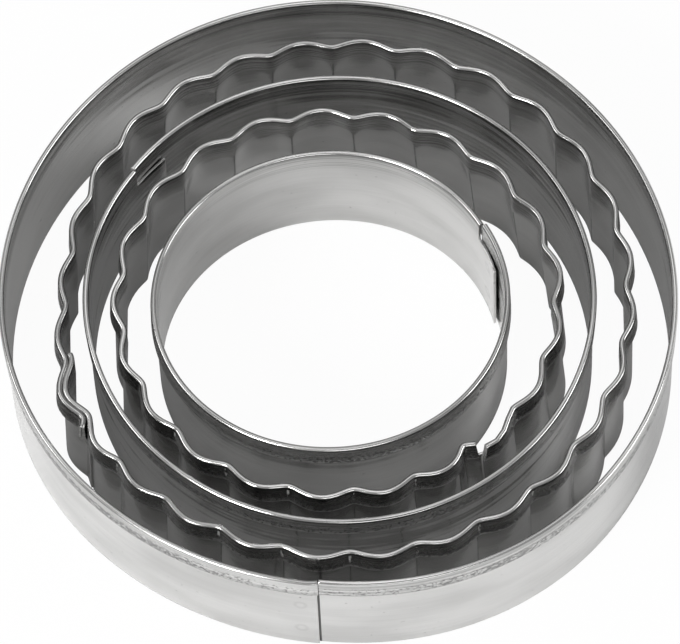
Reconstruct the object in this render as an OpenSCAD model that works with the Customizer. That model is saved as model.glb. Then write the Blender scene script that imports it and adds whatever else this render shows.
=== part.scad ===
// Nested set of five round pastry cutters standing on their cutting edges.
// Each cutter is one thin steel strip, bent round and lapped at its ends, with
// the upper edge folded outwards into a narrow rolled rim. From the outside in:
// large plain, large fluted, medium plain, small fluted and small plain.

/* [Strip] */
// Height of every ring from the cutting edge to the top of the rim
ring_h = 15.2; // [10:0.1:30]
// Thickness of the steel strip
strip_t = 0.3; // [0.2:0.05:0.5]
// Clear slot left inside the folded rim
fold_gap = 0.1; // [0.05:0.05:0.4]
// Height of the folded rim, from its top to the end of the outer leg
fold_h = 2.9; // [1.5:0.1:5]

/* [Plain rings] */
// Outside diameter of the large plain ring over its rim
plain_large_d = 80.3; // [66:0.1:120]
// Arc over which the tucked end of a plain ring draws inwards, in degrees
tuck_a = 45; // [25:1:90]
// Slit between the two rim ends where they meet
butt_gap = 0.15; // [0.05:0.05:0.6]

/* [Fluted rings] */
// Number of flutes around the large fluted ring
fluted_large_n = 28; // [16:1:40]
// Height from crease to crest on the large fluted ring
fluted_large_depth = 0.8; // [0.3:0.05:1.5]
// Number of flutes around the small fluted ring
fluted_small_n = 21; // [12:1:30]
// Height from crease to crest on the small fluted ring
fluted_small_depth = 0.95; // [0.3:0.05:1.8]
// Radius left in the outer bottom of a crease of the rim
crease_r = 0.7; // [0.3:0.05:1.5]
// Length of strip that runs on past the last crease of the full lap
lap_tail = 1.2; // [0.4:0.1:2.5]
// How far the outer tail of the full lap stands away, in degrees
tail_kick = 12; // [0:1:30]

/* [Seams] */
// Length of the tab that slips inside the other end
tab_l = 5; // [2:0.1:8]
// Depth of the notch that clears the rim away above the tab
notch_h = 3.2; // [2:0.1:6]
// Clearance between two lapped walls or rims
lap_clear = 0.04; // [0.02:0.01:0.2]
// Diameter of a weld spot that ties the lap together
weld_d = 1.6; // [0.8:0.1:3]
// Height of the lower weld spot above the cutting edge
weld_rise = 3.6; // [2:0.1:4]
// Depth of the upper weld spot below the notch
weld_drop = 3; // [2:0.1:3.5]
// Width of the vee between the rim ends of the small fluted ring
vee_w = 1.0; // [0.3:0.1:1.2]
// Direction of the seam of the large plain ring, in degrees
plain_large_seam = 264.2; // [0:0.1:360]
// Direction of the seam of the medium plain ring, in degrees
plain_medium_seam = 142.3; // [0:0.1:360]
// Direction of the seam of the small plain ring, in degrees
plain_small_seam = 26.6; // [0:0.1:360]
// Direction of the first crease under the lap of the large fluted ring
fluted_large_seam = 191.9; // [0:0.1:360]
// Direction of the crease beside the seam of the small fluted ring
fluted_small_seam = 305.6; // [0:0.1:360]
// Length of strip from the bend of that crease to the seam
fluted_small_lead = 0.8; // [0.7:0.1:3]

/* [Nesting] */
// Gap between the large plain ring and the rim crests of the large fluted ring
fluted_large_gap = 4.55; // [3:0.05:7]
// Gap between the creases of the large fluted ring and the medium plain ring
plain_medium_gap = 3; // [2.5:0.05:5]
// Gap between the medium plain ring and the rim crests of the small fluted ring
fluted_small_gap = 3; // [1.5:0.05:5]
// Gap between the creases of the small fluted ring and the small plain ring
plain_small_gap = 4.25; // [1.5:0.05:6]
// Sideways place of the large fluted ring in the large plain ring
fluted_large_x = 0.9; // [-1:0.1:1]
// Front to back place of the large fluted ring in the large plain ring
fluted_large_y = -1; // [-1:0.1:1]
// Sideways place of the medium plain ring in the large fluted ring
plain_medium_x = -0.7; // [-0.8:0.1:0.8]
// Front to back place of the medium plain ring in the large fluted ring
plain_medium_y = -0.2; // [-0.8:0.1:0.8]
// Sideways place of the small fluted ring in the medium plain ring
fluted_small_x = -0.4; // [-0.8:0.1:0.8]
// Front to back place of the small fluted ring in the medium plain ring
fluted_small_y = -0.6; // [-0.8:0.1:0.8]
// Sideways place of the small plain ring in the small fluted ring
plain_small_x = -0.7; // [-0.8:0.1:0.8]
// Front to back place of the small plain ring in the small fluted ring
plain_small_y = 0; // [-0.8:0.1:0.8]

/* [Hidden] */
$fa = 4;
$fs = 0.25;
flute_flats = 6;
crease_flats = 3;
crown_steps = 3;
vee_steps = 4;
cut_over = 1;
short_tail = 2;
rim_w = 2 * strip_t + fold_gap;
wall_top = ring_h - rim_w / 2;
wall_step = strip_t + lap_clear;
rim_step = rim_w + lap_clear;
fluted_large_d = plain_large_d - 2 * (rim_w + fluted_large_gap);
plain_medium_d = fluted_large_d - 2 * (rim_w + fluted_large_depth + plain_medium_gap);
fluted_small_d = plain_medium_d - 2 * (rim_w + fluted_small_gap);
plain_small_d = fluted_small_d - 2 * (rim_w + fluted_small_depth + plain_small_gap);
crown_rise = microns(rim_w / 2 / crown_steps);
notch_z = ring_h - notch_h;
fluted_large_at = [fluted_large_x, fluted_large_y, 0];
plain_medium_at = fluted_large_at + [plain_medium_x, plain_medium_y, 0];
fluted_small_at = plain_medium_at + [fluted_small_x, fluted_small_y, 0];
plain_small_at = fluted_small_at + [plain_small_x, plain_small_y, 0];
weld_bite = 0.2 * strip_t;

function polar(r, a) = [r * cos(a), r * sin(a)];
// A length in whole microns, so that what is built up from it meets exactly
function microns(v) = round(v * 1000) / 1000;
function bearing(v) = atan2(v[1], v[0]);
// The same bearing as b, turned on by whole circles until it is past a
function past(a, b) = b + 360 * ceil((a - b) / 360);

// Cross-section of the strip with its folded rim; x = 0 is the inside face
module rim_profile() {
    difference() {
        union() {
            square([strip_t, wall_top]);
            translate([0, ring_h - fold_h]) square([rim_w, fold_h - rim_w / 2]);
            translate([rim_w / 2, wall_top]) circle(d = rim_w, $fn = 32);
        }
        translate([strip_t, ring_h - fold_h - cut_over])
            square([fold_gap, fold_h - rim_w / 2 + cut_over]);
    }
}

// Cross-section of the tab, a single wall that stops below the rim
module tab_profile() {
    square([strip_t, notch_z]);
}

// One bend that starts at angle 0 round a centre at x; r is the radius of the inside face
module bow(x, r, sweep) {
    translate([x, 0, 0]) rotate_extrude(angle = sweep) translate([r, 0]) children();
}

// Two weld spots in direction a, through a lap of two walls: r0 is the inside
// face of the inner wall and r1 the inside face of the outer one
module weld_pair(a, r0, r1) {
    depth = r1 + strip_t - r0 - 2 * weld_bite;
    for (z = [weld_rise, notch_z - weld_drop])
        rotate(a) translate([r0 + weld_bite, 0, z]) rotate([0, 90, 0])
            cylinder(d = weld_d, h = depth, $fn = 24);
}

// A plain ring with its seam at angle 0: the outer end comes round to the seam,
// the other end draws inwards and runs on under it as the tab. The drawn-in end
// is bent round a centre that lies off the axis by `shift`
module plain_ring(d) {
    r = d / 2 - rim_w;
    shift = microns(wall_step / (1 - cos(tuck_a)));
    tuck_r = r - shift;
    swing = tuck_a + asin(shift * sin(tuck_a) / tuck_r);
    gap_a = butt_gap / r * 180 / PI;
    tab_a = tab_l / tuck_r * 180 / PI;
    tab_mid = tuck_a + tab_a / 2;
    rotate(tuck_a) {
        bow(0, r, 360 - tuck_a - gap_a) rim_profile();
        bow(shift, tuck_r, -swing) rim_profile();
        bow(shift, tuck_r, -swing - tab_a) tab_profile();
    }
    tab_r = shift * cos(tab_mid) + sqrt(pow(tuck_r, 2) - pow(shift * sin(tab_mid), 2));
    weld_pair(-tab_a / 2, tab_r, r);
}

// Radius of a crease along the inside face of the strip
crease_path_r = crease_r + rim_w;
// Distance from the ring's axis to the centre of its creases
function crease_centre_r(d, depth) = d / 2 - rim_w - depth + crease_path_r;
// Radius of a flute along the inside face, so that it runs smoothly into the creases
function flute_r(d, n, depth) =
    let (m = d / 2 - rim_w, k = crease_path_r, c = crease_centre_r(d, depth), s = cos(180 / n))
    (m * m + c * c - 2 * m * c * s - k * k) / (2 * (m + k - c * s));
// Centre of the flute of radius r that touches crease circles r1 at k1 and r2 at k2
function flute_centre(k1, r1, k2, r2, r) =
    let (v = k2 - k1, l = norm(v), u = v / l, p = r + r1, q = r + r2,
         a = (p * p - q * q + l * l) / (2 * l), h = sqrt(p * p - a * a))
    [k1[0] + a * u[0] - h * u[1], k1[1] + a * u[1] + h * u[0]];
// Length of one flute along the inside face, between its two creases
function flute_len(d, n, depth) =
    let (r = flute_r(d, n, depth), c = crease_centre_r(d, depth), m = d / 2 - rim_w - r)
    2 * r * bearing([c * cos(180 / n) - m, c * sin(180 / n)]) * PI / 180;
function degrees_of(length, r) = length / r * 180 / PI;

// A bend is [centre, radius of the inside face, 1 for a flute or -1 for a
// crease, start angle, end angle, number of flats].
// Points along a chain of bends, d outside its inside face
function side(bends, d) = concat(
    [for (b = bends) for (j = [0 : b[5] - 1]) on_bend(b, d, j / b[5])],
    [on_bend(bends[len(bends) - 1], d, 1)]);
function on_bend(b, d, t) = b[0] + polar(b[1] + b[2] * d, b[3] + (b[4] - b[3]) * t);
function reversed(v) = [for (i = [len(v) - 1 : -1 : 0]) v[i]];

// The strip between two distances outside its inside face, over a height
module leaf(bends, d0, d1, z0, z1) {
    translate([0, 0, z0]) linear_extrude(height = z1 - z0)
        polygon(concat(side(bends, d1), reversed(side(bends, d0))));
}

// The strip from z0 up, with its folded rim; the crown of the fold narrows in steps
module rimmed_leaf(bends, z0) {
    leaf(bends, 0, strip_t, z0, wall_top);
    leaf(bends, rim_w - strip_t, rim_w, ring_h - fold_h, wall_top);
    for (k = [0 : crown_steps - 1]) {
        half = rim_w / 2 * sqrt(1 - pow(k / crown_steps, 2));
        leaf(bends, rim_w / 2 - half, rim_w / 2 + half, wall_top + k * crown_rise,
            k < crown_steps - 1 ? wall_top + (k + 1) * crown_rise : ring_h);
    }
}

// The bends of a fluted ring whose crease number 0 lies at angle 0. Creases up
// to number 1 are set inwards by `step`, which tucks that end inside the other.
// The chain starts `lead` before crease `first` and ends `tail` past crease
// `last`, where the strip turns outwards by a further `kick` degrees. A short
// tail has two flats.
function flute_chain(d, n, depth, step, first, last, lead, tail, kick) =
    let (pitch = 360 / n,
         kr = crease_path_r,
         cr = crease_centre_r(d, depth),
         fr = flute_r(d, n, depth),
         k = function (i) polar(cr, i * pitch),
         set_in = function (i) i <= 1 ? step : 0,
         rad = function (i) fr - (i < 1 ? step : 0),
         f = function (i) flute_centre(k(i), kr + set_in(i), k(i + 1), kr + set_in(i + 1), rad(i)),
         from_crease = function (i) bearing(k(i) - f(i)),
         to_crease = function (i) bearing(k(i + 1) - f(i)),
         turn_in = function (i) bearing(f(i - 1) - k(i)),
         turn_out = function (i) bearing(f(i) - k(i)) - (i == last ? kick : 0),
         flute = function (i) [f(i), rad(i), 1, from_crease(i), past(from_crease(i), to_crease(i)),
             flute_flats],
         groove = function (i) [k(i), kr + set_in(i), -1, past(turn_out(i), turn_in(i)), turn_out(i),
             crease_flats],
         lead_end = to_crease(first - 1),
         lead_start = lead_end - degrees_of(lead, rad(first - 1)),
         tail_c = k(last) + polar(fr + kr, turn_out(last)),
         tail_start = bearing(k(last) - tail_c))
    concat(
        [[f(first - 1), rad(first - 1), 1, lead_start, lead_end, 2]],
        [for (i = [first : last]) each i < last ? [groove(i), flute(i)] : [groove(i)]],
        [[tail_c, fr, 1, tail_start, tail_start + degrees_of(tail, fr), tail > short_tail ? flute_flats : 2]]);

// Large plain ring, the root of the set
module plain_large() {
    color("silver") rotate(plain_large_seam) plain_ring(plain_large_d);
}

// Large fluted ring: its ends lap over one whole flute, both with their rims
module fluted_large() {
    pitch = 360 / fluted_large_n;
    crest = fluted_large_d / 2 - rim_w;
    color("silver") translate(fluted_large_at) rotate(fluted_large_seam) {
        rimmed_leaf(flute_chain(fluted_large_d, fluted_large_n, fluted_large_depth, rim_step,
            0, fluted_large_n + 1, lap_tail, lap_tail, tail_kick), 0);
        weld_pair(pitch / 2, crest - rim_step, crest);
    }
}

// Medium plain ring
module plain_medium() {
    color("silver") translate(plain_medium_at) rotate(plain_medium_seam) plain_ring(plain_medium_d);
}

// Small fluted ring: a tab slips inside the other end, and the rim ends lean
// away from each other in a vee, cut in steps down to the top of the tab
module fluted_small() {
    d = fluted_small_d;
    n = fluted_small_n;
    pitch = 360 / n;
    crest = d / 2 - rim_w;
    near = fluted_small_lead - vee_w / 2;
    far = flute_len(d, n, fluted_small_depth) - fluted_small_lead - vee_w / 2;
    chain = flute_chain(d, n, fluted_small_depth, wall_step, 1, n, near, far, 0);
    inner = chain[0];
    outer = chain[len(chain) - 1];
    a_in = function (l) inner[3] - degrees_of(l, inner[1]);
    a_out = function (l) outer[4] + degrees_of(l, outer[1]);
    slat = vee_w / 2 / vee_steps;
    inner_slats = [for (j = [vee_steps : -1 : 1])
        [inner[0], inner[1], 1, a_in(j * slat), a_in((j - 1) * slat), 1]];
    outer_slats = [for (j = [1 : vee_steps])
        [outer[0], outer[1], 1, a_out((j - 1) * slat), a_out(j * slat), 1]];
    tab = [inner[0], inner[1], 1, a_in(vee_w / 2 + tab_l), a_in(vee_w / 2), flute_flats];
    color("silver") translate(fluted_small_at) mirror([0, 1, 0])
        rotate(-fluted_small_seam - pitch) {
            leaf(concat([tab], inner_slats, chain, outer_slats), 0, strip_t, 0, notch_z);
            rimmed_leaf(chain, notch_z);
            for (j = [0 : vee_steps - 1]) {
                top = min(wall_top, ring_h - notch_h * (j + 0.5) / vee_steps);
                for (b = [inner_slats[vee_steps - 1 - j], outer_slats[j]]) {
                    leaf([b], 0, strip_t, notch_z, top);
                    if (top > ring_h - fold_h) leaf([b], rim_w - strip_t, rim_w, ring_h - fold_h, top);
                }
            }
            weld_pair(pitch / 2, crest - wall_step, crest);
        }
}

// Small plain ring
module plain_small() {
    color("silver") translate(plain_small_at) rotate(plain_small_seam) plain_ring(plain_small_d);
}

plain_large();
fluted_large();
plain_medium();
fluted_small();
plain_small();
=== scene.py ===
import math

import bmesh
import bpy
from mathutils import Matrix, Vector


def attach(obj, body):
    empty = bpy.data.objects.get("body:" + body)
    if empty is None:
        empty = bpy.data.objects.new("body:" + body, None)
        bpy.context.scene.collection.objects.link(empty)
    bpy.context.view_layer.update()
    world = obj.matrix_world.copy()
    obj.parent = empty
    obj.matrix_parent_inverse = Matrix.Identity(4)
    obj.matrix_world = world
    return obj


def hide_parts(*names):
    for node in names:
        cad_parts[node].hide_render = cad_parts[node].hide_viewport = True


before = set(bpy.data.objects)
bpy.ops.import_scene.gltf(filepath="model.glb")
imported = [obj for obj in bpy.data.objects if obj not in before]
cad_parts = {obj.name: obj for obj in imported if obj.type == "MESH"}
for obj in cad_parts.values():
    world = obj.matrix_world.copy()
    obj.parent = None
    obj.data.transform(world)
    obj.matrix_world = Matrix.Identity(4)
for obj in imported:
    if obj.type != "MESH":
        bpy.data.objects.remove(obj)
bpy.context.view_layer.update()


# Camera
# A long lens on a stand in front of the set, 60 degrees above the table,
# turned a little clockwise on its mount as in the photograph.
photo_width = 680
focal_px = 6000
sensor_mm = 36
camera_distance = 0.71743
camera_elevation = math.radians(60.10)
camera_tilt = math.radians(0.275)
camera_roll = math.radians(2.816)
camera_aim = Vector((0.00013, -0.00021, 0))

camera_data = bpy.data.cameras.new("camera")
camera = bpy.data.objects.new("camera", camera_data)
bpy.context.scene.collection.objects.link(camera)
bpy.context.scene.camera = camera
camera_data.sensor_width = sensor_mm
camera_data.lens = focal_px / photo_width * sensor_mm
camera_data.clip_start = 0.01
camera_data.clip_end = 20
stand = Vector((0, -math.cos(camera_elevation), math.sin(camera_elevation))) * camera_distance
sight = -stand.normalized()
right = Vector((1, 0, 0))
up = right.cross(sight)
tilt = Matrix.Rotation(camera_tilt, 3, right)
sight, up = tilt @ sight, tilt @ up
roll = Matrix.Rotation(camera_roll, 3, sight)
right, up = roll @ right, roll @ up
turned = Matrix((right, up, -sight)).transposed().to_4x4()
turned.translation = stand + camera_aim
camera.matrix_world = turned


# Table and light
# A plain white table top in a white tent, lit through cloth from all sides and
# most from the front left. The camera sees both as plain white, the table with
# a faint shadow, and the steel shows nearly only how they are lit.
table_size = 6.0
table_white = (0.88, 0.88, 0.88, 1)
plain_white = (1, 1, 1, 1)
shadow_kept = 0.045
white_in_steel = 0.03
room_light = 0.355


def combined(tree, operation, first, second):
    """Two values of a node tree, or a value and a number, put together."""
    made = tree.nodes.new("ShaderNodeMath")
    made.operation = operation
    tree.links.new(first, made.inputs[0])
    if isinstance(second, (int, float)):
        made.inputs[1].default_value = second
    else:
        tree.links.new(second, made.inputs[1])
    return made.outputs[0]


def lit_or_white(tree, lit, white, outlet, by_camera):
    """Joins a lit shader and a plain white one. A ray from the camera meets
    by_camera of the white, one that the steel reflects a little, others none."""
    ray = tree.nodes.new("ShaderNodeLightPath").outputs
    by_steel = combined(tree, "MAXIMUM", ray["Is Glossy Ray"], ray["Is Transmission Ray"])
    white_met = combined(tree, "MAXIMUM",
                         combined(tree, "MULTIPLY", ray["Is Camera Ray"], by_camera),
                         combined(tree, "MULTIPLY", by_steel, white_in_steel))
    both = tree.nodes.new("ShaderNodeMixShader")
    out = tree.nodes.new(outlet)
    tree.links.new(white_met, both.inputs[0])
    tree.links.new(lit.outputs[0], both.inputs[1])
    tree.links.new(white.outputs[0], both.inputs[2])
    tree.links.new(both.outputs[0], out.inputs["Surface"])


table_mesh = bmesh.new()
bmesh.ops.create_grid(table_mesh, x_segments=1, y_segments=1, size=table_size / 2)
table = bpy.data.objects.new("table", bpy.data.meshes.new("table"))
table_mesh.to_mesh(table.data)
table_mesh.free()
bpy.context.scene.collection.objects.link(table)
table_paint = bpy.data.materials.new("table_white")
table.data.materials.append(table_paint)
table_paint.use_nodes = True
table_paint.node_tree.nodes.clear()
lit = table_paint.node_tree.nodes.new("ShaderNodeBsdfDiffuse")
lit.inputs["Color"].default_value = table_white
white = table_paint.node_tree.nodes.new("ShaderNodeEmission")
white.inputs["Color"].default_value = plain_white
white.inputs["Strength"].default_value = 1
lit_or_white(table_paint.node_tree, lit, white, "ShaderNodeOutputMaterial", 1 - shadow_kept)

tent = bpy.data.worlds.new("studio")
bpy.context.scene.world = tent
tent.use_nodes = True
tent.node_tree.nodes.clear()
lit = tent.node_tree.nodes.new("ShaderNodeBackground")
lit.inputs["Color"].default_value = plain_white
lit.inputs["Strength"].default_value = room_light
white = tent.node_tree.nodes.new("ShaderNodeBackground")
white.inputs["Color"].default_value = plain_white
white.inputs["Strength"].default_value = 1
lit_or_white(tent.node_tree, lit, white, "ShaderNodeOutputWorld", 1)


def softbox(name, place, width, height, power):
    """A square lamp behind cloth that faces the middle of the set."""
    lamp = bpy.data.lights.new(name, "AREA")
    lamp.shape = "RECTANGLE"
    lamp.size, lamp.size_y = width, height
    lamp.energy = power
    held = bpy.data.objects.new(name, lamp)
    bpy.context.scene.collection.objects.link(held)
    held.location = place
    held.rotation_euler = (-Vector(place)).to_track_quat("-Z", "Y").to_euler()


softbox("softbox_front_left", (-0.75, -0.8, 0.75), 0.4, 0.35, 11.0)
softbox("softbox_front", (0.2, -1.0, 0.45), 0.6, 0.3, 1.3)
softbox("softbox_top_back", (0, 0.7, 1.15), 0.9, 0.6, 1.6)
softbox("softbox_top", (0, 0, 1.4), 0.5, 0.5, 1.3)
softbox("softbox_left", (-1.0, 0.1, 0.6), 0.6, 0.35, 2.4)
softbox("softbox_right", (1.0, -0.1, 0.5), 0.6, 0.35, 2.6)

bpy.context.scene.view_settings.view_transform = "Standard"


# Large plain ring
# A long strip of thin stainless steel. Its upper edge is folded outwards into
# a rim, one end is notched to leave a tab, and the strip is rolled into a ring
# with the tab welded inside the other end. The seam faces the camera.
strip_t = 0.0003
ring_h = 0.0152
rim_w = 0.0007
wall_top = ring_h - rim_w / 2
fold_r = (rim_w - strip_t) / 2 - 0.000003
fold_h = 0.0029
fold_steps = 10
leg_l = fold_h - rim_w / 2
edge_w = 0.00004
edge_a = 50
notch_z = ring_h - 0.0032
tab_l = 0.005
tuck_a = 45.0
lap_step = 0.00031
butt_gap = 0.0002
lean_from_a = 358

wall_rows = [0.000015, 0.0006, 0.003, 0.0055, 0.008, 0.0095, 0.011, notch_z,
             0.0128, 0.0136, 0.0143]
fold_rows = [wall_top + math.pi * fold_r * k / fold_steps for k in range(fold_steps + 1)]
leg_rows = [fold_rows[-1] + leg_l * k for k in (0.08, 0.2, 0.4, 0.7, 1.0)]
rows = wall_rows + fold_rows + leg_rows


def folded(developed, leg_out):
    """Where a line of the flat strip ends up in the fold: (outward, height).
    leg_out is how far the edge of the folded leg springs off the wall."""
    if developed <= wall_top:
        return strip_t / 2, developed
    bend = (developed - wall_top) / fold_r
    if bend <= math.pi:
        return rim_w / 2 - fold_r * math.cos(bend), wall_top + fold_r * math.sin(bend)
    down = developed - wall_top - math.pi * fold_r
    return rim_w - strip_t / 2 + leg_out * down / leg_l, wall_top - down


def rolled_strip(name, columns, path, radius, is_kept, leg_out):
    """A flat strip cut to a grid, folded and then bent along path(turn, height),
    which gives the inside face. The map "strip" holds the flat place in metres."""
    bm = bmesh.new()
    bmesh.ops.create_grid(bm, x_segments=len(columns) - 1, y_segments=len(rows) - 1, size=1)
    low_x = min(v.co.x for v in bm.verts)
    low_y = min(v.co.y for v in bm.verts)
    wide = max(v.co.x for v in bm.verts) - low_x
    tall = max(v.co.y for v in bm.verts) - low_y
    turn_of, row_of = {}, {}
    for v in bm.verts:
        turn_of[v] = columns[round((v.co.x - low_x) / wide * (len(columns) - 1))]
        row_of[v] = rows[round((v.co.y - low_y) / tall * (len(rows) - 1))]
    cut = [f for f in bm.faces
           if not is_kept(sum(turn_of[v] for v in f.verts) / 4,
                          sum(row_of[v] for v in f.verts) / 4)]
    bmesh.ops.delete(bm, geom=cut, context="FACES")
    flat = bm.loops.layers.uv.new("strip")
    for f in bm.faces:
        f.smooth = True
        for loop in f.loops:
            loop[flat].uv = (math.radians(turn_of[loop.vert]) * radius, row_of[loop.vert])
    near_a = 0.02
    for v in bm.verts:
        outward, height = folded(row_of[v], leg_out)
        here = path(turn_of[v], height)
        ahead = path(turn_of[v] + near_a, height) - path(turn_of[v] - near_a, height)
        across = Vector((ahead.y, -ahead.x)).normalized()
        if across.dot(here) < 0:
            across = -across
        place = here + across * outward
        v.co = (place.x, place.y, height)
    bmesh.ops.recalc_face_normals(bm, faces=bm.faces)
    ring = bpy.data.objects.new(name, bpy.data.meshes.new(name))
    bm.to_mesh(ring.data)
    bm.free()
    bpy.context.scene.collection.objects.link(ring)
    wall = ring.modifiers.new("wall", "SOLIDIFY")
    wall.thickness = strip_t
    wall.offset = 0
    wall.use_even_offset = True
    edge = ring.modifiers.new("edge", "BEVEL")
    edge.width = edge_w
    edge.segments = 2
    edge.limit_method = "ANGLE"
    edge.angle_limit = math.radians(edge_a)
    return ring


def plain_columns(radius):
    """Where the strip of a plain ring is bent, in degrees from its butt end:
    every 2 degrees, and closer together near both ends."""
    tab_a = math.degrees(tab_l / radius)
    gap_a = math.degrees(butt_gap / radius)
    tab = [-tab_a * k / 4 for k in (4, 3, 2, 1)]
    body = [0, 0.5, 1.0, 1.6, 2.4] + list(range(4, 355, 2))
    return tab + body + [355.5, 356.5, 357.5, 358.4, 359.2, 360 - gap_a]


def plain_path(seam, centre, radius, waves, end_in=0.0):
    """Inside face of a plain ring: a circle slightly out of round, drawn in over
    its first eighth, where it goes under the other end. end_in is how far the
    rim of that other end leans in."""
    def path(turn, height):
        angle = math.radians(seam + turn)
        r = radius * (1 + sum(c * math.cos(n * angle) + s * math.sin(n * angle)
                              for n, c, s in waves))
        if turn < tuck_a:
            r -= lap_step * ((tuck_a - turn) / tuck_a) ** 2
        if turn > lean_from_a and height > notch_z:
            r -= end_in * ((turn - lean_from_a) / (360 - lean_from_a)) ** 2
        return Vector((centre[0] + r * math.cos(angle), centre[1] + r * math.sin(angle)))
    return path


def tab_notched(turn, developed):
    """The tab is what is left of the strip where the rim is notched away."""
    return turn > 0 or developed < notch_z


def shader_group(name, takes, gives):
    """An empty node group with named sockets, and its input and output nodes."""
    group = bpy.data.node_groups.new(name, "ShaderNodeTree")
    for socket, kind in takes:
        group.interface.new_socket(name=socket, in_out="INPUT", socket_type="NodeSocket" + kind)
    for socket in gives:
        group.interface.new_socket(name=socket, in_out="OUTPUT", socket_type="NodeSocketFloat")
    return group, group.nodes.new("NodeGroupInput").outputs, group.nodes.new("NodeGroupOutput").inputs


def noise_on_strip(tree, flat, piece, per_metre, detail):
    """Noise drawn out along or across the strip. Each piece has its own pattern."""
    drawn = tree.nodes.new("ShaderNodeVectorMath")
    drawn.operation = "MULTIPLY"
    drawn.inputs[1].default_value = (*per_metre, 1)
    noise = tree.nodes.new("ShaderNodeTexNoise")
    noise.noise_dimensions = "4D"
    noise.inputs["Scale"].default_value = 1
    noise.inputs["Detail"].default_value = detail
    tree.links.new(flat, drawn.inputs[0])
    tree.links.new(drawn.outputs[0], noise.inputs["Vector"])
    tree.links.new(piece, noise.inputs["W"])
    return noise.outputs["Fac"]


def ramp(tree, value, low, high, to_low=0.0, to_high=1.0):
    """The value eased from one level to another."""
    eased_value = tree.nodes.new("ShaderNodeMapRange")
    eased_value.interpolation_type = "SMOOTHSTEP"
    eased_value.inputs["From Min"].default_value = low
    eased_value.inputs["From Max"].default_value = high
    eased_value.inputs["To Min"].default_value = to_low
    eased_value.inputs["To Max"].default_value = to_high
    tree.links.new(value, eased_value.inputs["Value"])
    return eased_value.outputs[0]


def between(tree, value, start, end):
    """A mask that rises over the stretch start and falls over the stretch end."""
    return combined(tree, "MULTIPLY", ramp(tree, value, *start), ramp(tree, value, *end, 1, 0))


# Mill finish: soft clouds, long rolling lines, fine grain, shallow dents and
# waves that the rollers left in the wall, and a few dark specks. Each has how
# many patches it has in a metre, along and across the strip, and its detail.
mill_patterns = [("Cloud", (70, 190), 2), ("Lines", (40, 4200), 2), ("Grain", (900, 9000), 2),
                 ("Dents", (70, 45), 1), ("Waves", (28, 330), 2)]
speck_pattern, speck_levels = (2100, 3300), (0.8, 0.86)

mill_finish, given, told = shader_group(
    "mill_finish", [("Flat", "Vector"), ("Piece", "Float")],
    ["Cloud", "Lines", "Grain", "Dents", "Waves", "Specks"])
for mark, per_metre, detail in mill_patterns:
    pattern = noise_on_strip(mill_finish, given["Flat"], given["Piece"], per_metre, detail)
    mill_finish.links.new(pattern, told[mark])
spots = noise_on_strip(mill_finish, given["Flat"], given["Piece"], speck_pattern, 0)
mill_finish.links.new(ramp(mill_finish, spots, *speck_levels), told["Specks"])

# What folding leaves: dull sheared metal where the strip was cut off at both
# ends, drag lines next to the fold, scuffs along the edge of the folded leg, and
# bare bright metal on the crown and the cutting edge. Around the butt of the rim,
# the strip and the tab seen through the seam gap get painted shade, darker than the gap's own shade.
sheared_start, sheared_finish = (0.00002, 0.00014), (-0.00006, -0.00002)
# Where the painted shade of the seam gap rises and falls around the butt.
seam_shade_from, seam_shade_to = (-0.00045, -0.00025), (0.00003, 0.00012)
leg_top, leg_end = fold_rows[-1], leg_rows[-1]
near_fold = (notch_z - 0.0004, notch_z + 0.0012)
scuff_from, scuff_to = (leg_top + 0.0003, leg_top + 0.0014), (leg_end - 0.0003, leg_end)
crown_from = (wall_top + 0.00012, wall_top + 0.00025)
crown_to = (leg_top - 0.0003, leg_top - 0.00012)
cutting_edge = (0.0001, 0.00035)

fold_wear, given, told = shader_group(
    "fold_wear", [("Flat", "Vector"), ("Piece", "Float"), ("Start", "Float"),
                  ("Finish", "Float"), ("Butt", "Float")],
    ["Drag", "Scuff", "Bare", "Sheared", "Seam shade"])
flat, piece = given["Flat"], given["Piece"]
split = fold_wear.nodes.new("ShaderNodeSeparateXYZ")
fold_wear.links.new(flat, split.inputs[0])
along, across = split.outputs["X"], split.outputs["Y"]
from_start = combined(fold_wear, "SUBTRACT", along, given["Start"])
from_finish = combined(fold_wear, "SUBTRACT", along, given["Finish"])
from_butt = combined(fold_wear, "SUBTRACT", along, given["Butt"])
sheared = combined(fold_wear, "MAXIMUM", ramp(fold_wear, from_start, *sheared_start, 1, 0),
                   ramp(fold_wear, from_finish, *sheared_finish))
fold_wear.links.new(sheared, told["Sheared"])
# Painted shade in the seam gap, around the butt of the rim.
fold_wear.links.new(between(fold_wear, from_butt, seam_shade_from, seam_shade_to), told["Seam shade"])
dragged = ramp(fold_wear, noise_on_strip(fold_wear, flat, piece, (26, 5200), 3), 0.42, 0.6)
fold_wear.links.new(combined(fold_wear, "MULTIPLY", dragged, ramp(fold_wear, across, *near_fold)),
                    told["Drag"])
patchy = ramp(fold_wear, noise_on_strip(fold_wear, flat, piece, (70, 0), 1), 0.35, 0.7, -0.06, 0.08)
rubbed = noise_on_strip(fold_wear, flat, piece, (2400, 3000), 3)
rubbed = ramp(fold_wear, combined(fold_wear, "ADD", rubbed, patchy), 0.44, 0.6)
on_leg = between(fold_wear, across, scuff_from, scuff_to)
fold_wear.links.new(combined(fold_wear, "MULTIPLY", rubbed, on_leg), told["Scuff"])
bright = combined(fold_wear, "MAXIMUM", between(fold_wear, across, crown_from, crown_to),
                  ramp(fold_wear, across, *cutting_edge, 1, 0))
worn = ramp(fold_wear, noise_on_strip(fold_wear, flat, piece, (160, 900), 3), 0.3, 0.6)
fold_wear.links.new(combined(fold_wear, "MULTIPLY", worn, bright), told["Bare"])

# Two spot welds in each lap: a small dimple with a dull heat ring.
weld_heights = (0.0036, 0.0092)
weld_r = 0.0007
dimple_span = (weld_r * 0.5, weld_r)
heat_from, heat_to = (weld_r * 0.45, weld_r * 0.8), (weld_r * 0.9, weld_r * 1.5)

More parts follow.
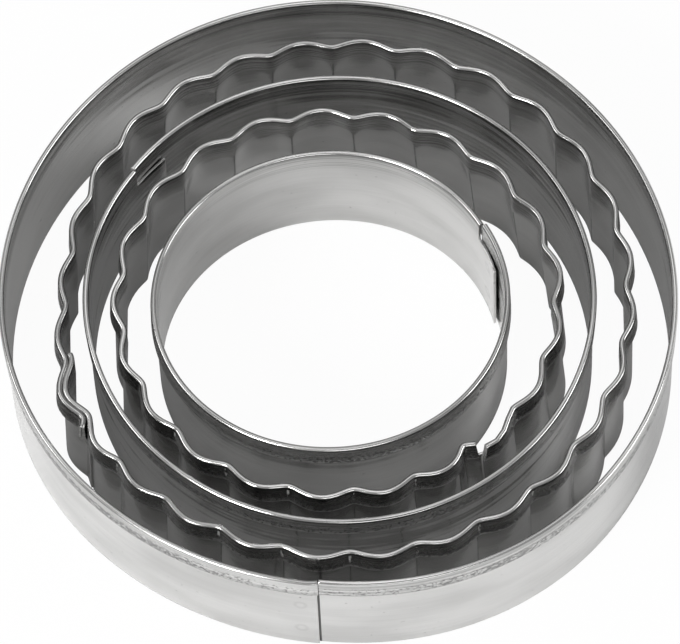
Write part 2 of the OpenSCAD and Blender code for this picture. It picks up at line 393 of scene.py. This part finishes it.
weld_marks, given, told = shader_group(
    "weld_marks", [("Flat", "Vector"), ("Lap", "Float")], ["Ring", "Dimple"])
distances = []
for weld_z in weld_heights:
    at = weld_marks.nodes.new("ShaderNodeCombineXYZ")
    at.inputs["Y"].default_value = weld_z
    away = weld_marks.nodes.new("ShaderNodeVectorMath")
    away.operation = "DISTANCE"
    weld_marks.links.new(given["Lap"], at.inputs["X"])
    weld_marks.links.new(given["Flat"], away.inputs[0])
    weld_marks.links.new(at.outputs[0], away.inputs[1])
    distances.append(away.outputs["Value"])
nearest = combined(weld_marks, "MINIMUM", *distances)
weld_marks.links.new(ramp(weld_marks, nearest, *dimple_span, 1, 0), told["Dimple"])
weld_marks.links.new(between(weld_marks, nearest, heat_from, heat_to), told["Ring"])


def use_group(tree, group, flat, **values):
    """A copy of a group placed in a material and fed with the flat map."""
    placed = tree.nodes.new("ShaderNodeGroup")
    placed.node_tree = group
    tree.links.new(flat, placed.inputs["Flat"])
    for socket, value in values.items():
        placed.inputs[socket].default_value = value
    return placed.outputs


cloud_levels, line_levels = (0.3, 0.7), (0.35, 0.65)
cloud_tones, line_tones = (0.86, 1.07), (0.975, 1.02)
cloud_dullness = (0.65, 1.6)
dull_everywhere = 0.02
tint = (("Red", 1), ("Green", 0.996), ("Blue", 0.984))
dent_depth = 0.00045
grain_depth = 0.0000006
drag_depth = -0.000007
dimple_depth = -0.000012
off_the_strip = -1.0


def steel(name, piece, tone, rough, wavy, ends, lap, butt=off_the_strip, marks=None):
    """Stainless strip as it comes from the mill, after folding and welding. ends,
    lap and butt are places along it in metres, and marks adds what pressing left."""
    made = bpy.data.materials.new(name)
    made.use_nodes = True
    tree = made.node_tree
    bsdf = tree.nodes["Principled BSDF"]
    bsdf.inputs["Metallic"].default_value = 1
    uv = tree.nodes.new("ShaderNodeUVMap")
    uv.uv_map = "strip"
    flat = uv.outputs[0]
    mill = use_group(tree, mill_finish, flat, Piece=piece)
    wear = use_group(tree, fold_wear, flat, Piece=piece, Start=ends[0], Finish=ends[1], Butt=butt)
    weld = use_group(tree, weld_marks, flat, Lap=lap)

    # Each mark, the share of the light it leaves, the light it adds and how much
    # rougher it is, in the order in which they lie on the steel.
    on_steel = [(wear["Drag"], 0.62, 0, 0.06),
                (wear["Scuff"], 0.48, 0, 0.16),
                (mill["Specks"], 0.45, 0, 0),
                (weld["Ring"], 0.9, 0, 0.06),
                (wear["Bare"], 1, 0.02, 0.1),
                (wear["Sheared"], 1, 0.1, 0.4),
                # Painted shade: the butt of the rim is darkened to a fifth, standing in for the shade
                # in the seam gap.
                (wear["Seam shade"], 0.2, 0, 0.3)]
    if marks:
        on_steel += marks(tree, flat)
    light = ramp(tree, mill["Cloud"], *cloud_levels, *(tone * k for k in cloud_tones))
    light = combined(tree, "MULTIPLY", light, ramp(tree, mill["Lines"], *line_levels, *line_tones))
    dull = ramp(tree, mill["Cloud"], *cloud_levels,
                *(rough * k + dull_everywhere for k in cloud_dullness))
    for mark, left, added, rougher in on_steel:
        if left != 1:
            light = combined(tree, "MULTIPLY", light, ramp(tree, mark, 0, 1, 1, left))
        if added:
            light = combined(tree, "ADD", light, ramp(tree, mark, 0, 1, 0, added))
        if rougher:
            dull = combined(tree, "ADD", dull, ramp(tree, mark, 0, 1, 0, rougher))
    tinted = tree.nodes.new("ShaderNodeCombineColor")
    for channel, share in tint:
        tree.links.new(combined(tree, "MULTIPLY", light, share), tinted.inputs[channel])
    tree.links.new(tinted.outputs[0], bsdf.inputs["Base Color"])
    tree.links.new(dull, bsdf.inputs["Roughness"])

    normal = None
    for height, depth in ((mill["Dents"], dent_depth), (mill["Waves"], wavy),
                          (mill["Grain"], grain_depth), (wear["Drag"], drag_depth),
                          (weld["Dimple"], dimple_depth)):
        bump = tree.nodes.new("ShaderNodeBump")
        bump.inputs["Strength"].default_value = 1
        bump.inputs["Distance"].default_value = depth
        tree.links.new(height, bump.inputs["Height"])
        if normal:
            tree.links.new(normal, bump.inputs["Normal"])
        normal = bump.outputs[0]
    tree.links.new(normal, bsdf.inputs["Normal"])
    return made


large_r = 0.03926
large_l = math.tau * large_r
plain_large = rolled_strip(
    "plain_large_strip", plain_columns(large_r),
    plain_path(seam=264.2, centre=(0.00013, -0.00017), radius=large_r,
               waves=[(2, -0.003, -0.0131), (3, -0.0034, -0.005), (4, 0.0008, 0.0023)],
               end_in=0.00025),
    large_r, tab_notched, leg_out=-0.00007)
# butt=0.0 puts the painted seam shade at this ring's butt. The other rings have none.
plain_large.data.materials.append(
    steel("plain_large_steel", piece=1.3, tone=0.68, rough=0.14, wavy=0.0002,
          ends=(-tab_l, large_l - butt_gap), lap=large_l - 0.0022, butt=0.0))
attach(plain_large, "plain_large")
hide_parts("plain_large")


# Large fluted ring
# The same strip pressed into 28 flutes and rolled up. Its ends lap over one
# whole flute with both rims side by side, and the outer end stands off a bit.
fluted_large_r = 0.03447
fluted_large_pitch = 360 / 28
fluted_large_lead_a, fluted_large_tail_a = 1.9, 2.7
press_top, press_fade = 0.0138, 0.004
sharp_crease = 0.06
rim_step = rim_w + 0.00004
lap_eased, lap_laid_from, lap_laid_fade = 0.8, notch_z + 0.0006, 0.003
lap_laid_flutes, lap_clearance = 0.4, 0.00003
tip_out, tip_a = 0.00022, 1.7


def clamped(k):
    return min(1, max(0, k))


def eased(k):
    """From 0 to 1 as k does, with a soft start and a soft finish."""
    return clamped(k) * clamped(k) * (3 - 2 * clamped(k))


def flute_columns(first, last, pitch, lead, tail):
    """Bend lines of a fluted strip: close together in a crease, wide on a flute."""
    across = [0, 0.015, 0.035, 0.06, 0.1, 0.15, 0.21, 0.28, 0.36, 0.44]
    bends = across + [0.5] + [1 - k for k in reversed(across[1:])]
    body = [(k + m) * pitch for k in range(first, last) for m in bends] + [last * pitch]
    before = [first * pitch - lead * k / 4 for k in (4, 3, 2, 1)]
    after = [last * pitch + tail * k / 4 for k in (1, 2, 3, 4)]
    return before + body + after


def wave_sum(waves, angle):
    """What a list of (number, cosine, sine) waves adds up to at an angle."""
    return sum(c * math.cos(n * math.radians(angle)) + s * math.sin(n * math.radians(angle))
               for n, c, s in waves)


def flute_path(crease_at, direction, centre, radius, pitch, depth, waves, drift, bulges,
               soft, flare, shallower, foot_shift, drawn_in):
    """Inside face of a fluted ring, in metres and degrees. turn 0 is a crease.
    waves and bulges say how far the ring is from round, drift how uneven its
    flutes are spaced. soft is how round the creases stay at the rim: below the
    fold they are pressed sharp. The foot stands out by flare, has shallower
    flutes and is shifted by foot_shift."""
    def path(turn, height):
        angle = crease_at + direction * turn
        angle += wave_sum(drift, angle)
        r = radius + wave_sum(waves, angle)
        r += sum(out * math.exp(-(((angle - at + 180) % 360 - 180) / wide) ** 2)
                 for at, wide, out in bulges)
        foot = clamped((notch_z - height) / notch_z)
        k = soft + (sharp_crease - soft) * eased((press_top - height) / press_fade)
        t = 1 - abs((turn / pitch) % 1 * 2 - 1)
        t = (math.sqrt(t * t + k * k) - k) / (math.sqrt(1 + k * k) - k)
        r -= depth * (1 - shallower * foot) * (1 - t) ** 2
        r += flare * foot + drawn_in(turn, height)
        return Vector((centre[0] + foot_shift[0] * foot + r * math.cos(math.radians(angle)),
                       centre[1] + foot_shift[1] * foot + r * math.sin(math.radians(angle))))
    return path


def full_lap(turn, height):
    """The first end runs a rim's width further in until it is past the lap. Below
    the rims the last end lies flat on it, and its tip is sprung out a little."""
    flutes = turn / fluted_large_pitch
    shift = -rim_step * (1 - eased((flutes - 1) / lap_eased))
    below = clamped((lap_laid_from - height) / lap_laid_fade)
    into_lap = eased(flutes - 28 + lap_laid_flutes)
    shift -= (rim_step - strip_t - lap_clearance) * below * into_lap
    past = turn - 29 * fluted_large_pitch
    if past > 0:
        shift += tip_out * (past / tip_a) ** 2 * (1 - below)
    return shift


def keep_all(turn, developed):
    """Both ends of this strip keep their rim."""
    return True


fluted_large = rolled_strip(
    "fluted_large_strip",
    flute_columns(0, 29, fluted_large_pitch, fluted_large_lead_a, fluted_large_tail_a),
    flute_path(crease_at=191.9, direction=1, centre=(0.00086, -0.00095),
               radius=fluted_large_r, pitch=fluted_large_pitch, depth=0.00088,
               waves=[(1, -0.00045, 0), (2, -0.0004, -0.00014), (3, -0.00007, 0.00005)],
               drift=[(1, -0.4, 0.67), (2, 0, 0.57), (3, -0.39, -0.11), (4, 0.24, 0.14)],
               bulges=[(169, 27, -0.00155), (204, 15, 0.00077), (199.5, 5, 0.0006)],
               soft=0.42, flare=0.0003, shallower=0.25, foot_shift=(-0.00015, 0.0002),
               drawn_in=full_lap),
    fluted_large_r, keep_all, leg_out=0.00017)

# Pressing the creases scratches the folded leg beside them and leaves a dull
# line down the wall.
beside_crease, on_crease = (0.0001, 0.00035), (0.00004, 0.00018)
scratched_from = (leg_top + 0.0001, leg_top + 0.0004)
scratched_to = (leg_top + 0.0010, leg_top + 0.0022)
line_until = (notch_z - 0.001, notch_z + 0.0006)

crease_marks, given, told = shader_group(
    "crease_marks", [("Flat", "Vector"), ("Flute", "Float")], ["Scratches", "Fold line"])
split = crease_marks.nodes.new("ShaderNodeSeparateXYZ")
crease_marks.links.new(given["Flat"], split.inputs[0])
from_crease = combined(crease_marks, "PINGPONG", split.outputs["X"],
                       combined(crease_marks, "MULTIPLY", given["Flute"], 0.5))
across = split.outputs["Y"]
scratched = combined(crease_marks, "MULTIPLY",
                     ramp(crease_marks, from_crease, *beside_crease, 1, 0),
                     between(crease_marks, across, scratched_from, scratched_to))
hit = noise_on_strip(crease_marks, given["Flat"], given["Flute"], (2600, 900), 2)
hit = ramp(crease_marks, hit, 0.47, 0.56)
crease_marks.links.new(combined(crease_marks, "MULTIPLY", scratched, hit), told["Scratches"])
line = combined(crease_marks, "MULTIPLY", ramp(crease_marks, from_crease, *on_crease, 1, 0),
                ramp(crease_marks, across, *line_until, 1, 0))
crease_marks.links.new(line, told["Fold line"])


def marked_creases(radius, pitch):
    """What pressing leaves on a ring of this radius and flute pitch, as rows of
    mark, share of the light left, light added and how much rougher it is."""
    def marks(tree, flat):
        pressed = use_group(tree, crease_marks, flat, Flute=math.radians(pitch) * radius)
        return [(pressed["Fold line"], 0.6, 0, 0.1), (pressed["Scratches"], 1, 0.35, 0.4)]
    return marks


fluted_large_ends = (-fluted_large_lead_a, 29 * fluted_large_pitch + fluted_large_tail_a)
fluted_large.data.materials.append(
    steel("fluted_large_steel", piece=2.1, tone=0.64, rough=0.13, wavy=0.00005,
          ends=[math.radians(turn) * fluted_large_r for turn in fluted_large_ends],
          lap=math.radians(0.5 * fluted_large_pitch) * fluted_large_r,
          marks=marked_creases(fluted_large_r, fluted_large_pitch)))
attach(fluted_large, "fluted_large")
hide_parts("fluted_large")


# Medium plain ring
# A plain strip of the same steel. Its rim ends butt at the upper left, over the
# tab that is spot welded inside them.
medium_r = 0.02966
plain_medium = rolled_strip(
    "plain_medium_strip", plain_columns(medium_r),
    plain_path(seam=142.3, centre=(0.00021, -0.00117), radius=medium_r,
               waves=[(2, -0.0061, -0.0067), (3, 0, 0.0017)]),
    medium_r, tab_notched, leg_out=-0.0001)
plain_medium.data.materials.append(
    steel("plain_medium_steel", piece=3.7, tone=0.66, rough=0.12, wavy=0.0003,
          ends=(-tab_l, math.tau * medium_r - butt_gap), lap=-tab_l / 2))
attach(plain_medium, "plain_medium")
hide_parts("plain_medium")


# Small fluted ring
# The strip pressed into 21 flutes. It runs round the other way, so its tab goes
# under the end at the right, and the two rim ends lean apart in a narrow vee.
fluted_small_r = 0.02599
fluted_small_pitch = 360 / 21
fluted_small_lead_a = 3.63
fluted_small_tab_a = math.degrees(tab_l / fluted_small_r)
fluted_small_start = fluted_small_pitch - fluted_small_lead_a
fluted_small_end = 360 + fluted_small_start
vee_half = 0.00032
vee_start_a, vee_end_a = 1.6, 6
tab_in, tab_in_until, tab_in_fade = 0.00025, 1.3, 0.9
dent_in, dent_at, dent_wide = 0.00045, 1.05, 0.16
end_out, end_rim_out = 0.0001, 0.0004
end_rim_from, end_rim_fade = 0.0105, 0.003
end_out_from, end_out_fade = 21.2, 0.5


def vee_lap(turn, height):
    """The tabbed end is drawn in until it is past its second flute. The other
    end lies on the tab, and its rim stands out from it."""
    flutes = turn / fluted_small_pitch
    shift = -tab_in * (1 - clamped((flutes - tab_in_until) / tab_in_fade))
    shift -= dent_in * math.exp(-((flutes - dent_at) / dent_wide) ** 2)
    high = clamped((height - end_rim_from) / end_rim_fade)
    return shift + (end_out + end_rim_out * high) * eased((flutes - end_out_from) / end_out_fade)


def fluted_small_notched(turn, developed):
    return turn > fluted_small_start or developed < notch_z


even_flutes = flute_path(
    crease_at=305.5 + fluted_small_pitch, direction=-1, centre=(-0.00016, -0.00182),
    radius=fluted_small_r, pitch=fluted_small_pitch, depth=0.00098,
    waves=[(2, 0, -0.00014), (3, 0.00014, 0.00007)],
    drift=[(1, -0.6, -0.13), (2, -0.33, 0.58), (4, 0.3, 0)], bulges=[],
    soft=0.37, flare=0.00065, shallower=0.25, foot_shift=(0.00015, 0.0001),
    drawn_in=vee_lap)


def vee_path(turn, height):
    """Near the seam the strip is trimmed on a slope, which opens the vee."""
    above_notch = max(0, (height - notch_z) / (ring_h - notch_z))
    open_a = math.degrees(vee_half * above_notch / fluted_small_r)
    if turn < fluted_small_start + vee_start_a:
        turn += open_a * max(0, 1 - max(0, turn - fluted_small_start) / vee_start_a)
    if turn > fluted_small_end - vee_end_a:
        turn -= open_a * (turn - fluted_small_end + vee_end_a) / vee_end_a
    return even_flutes(turn, height)


tab_columns = [fluted_small_start - fluted_small_tab_a * k / 6 for k in (6, 5, 4, 3, 2, 1)]
fluted_small_columns = tab_columns + flute_columns(
    1, 21, fluted_small_pitch, fluted_small_lead_a, fluted_small_start)
fluted_small = rolled_strip(
    "fluted_small_strip", fluted_small_columns, vee_path, fluted_small_r,
    fluted_small_notched, leg_out=0.00017)
fluted_small.data.materials.append(
    steel("fluted_small_steel", piece=4.9, tone=0.64, rough=0.13, wavy=0.00005,
          ends=[math.radians(fluted_small_columns[k]) * fluted_small_r for k in (0, -1)],
          lap=math.radians(0.7 * fluted_small_pitch) * fluted_small_r,
          marks=marked_creases(fluted_small_r, fluted_small_pitch)))
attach(fluted_small, "fluted_small")
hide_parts("fluted_small")


# Small plain ring
# The innermost strip of the same steel. Its rim ends butt at the right, over the
# tab that is spot welded inside them.
small_r = 0.02012
plain_small = rolled_strip(
    "plain_small_strip", plain_columns(small_r),
    plain_path(seam=26.6, centre=(-0.00087, -0.00175), radius=small_r, waves=[(2, 0.0154, 0)]),
    small_r, tab_notched, leg_out=0.00008)
plain_small.data.materials.append(
    steel("plain_small_steel", piece=6.2, tone=0.64, rough=0.14, wavy=0.00015,
          ends=(-tab_l, math.tau * small_r - butt_gap), lap=-tab_l / 2))
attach(plain_small, "plain_small")
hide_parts("plain_small")
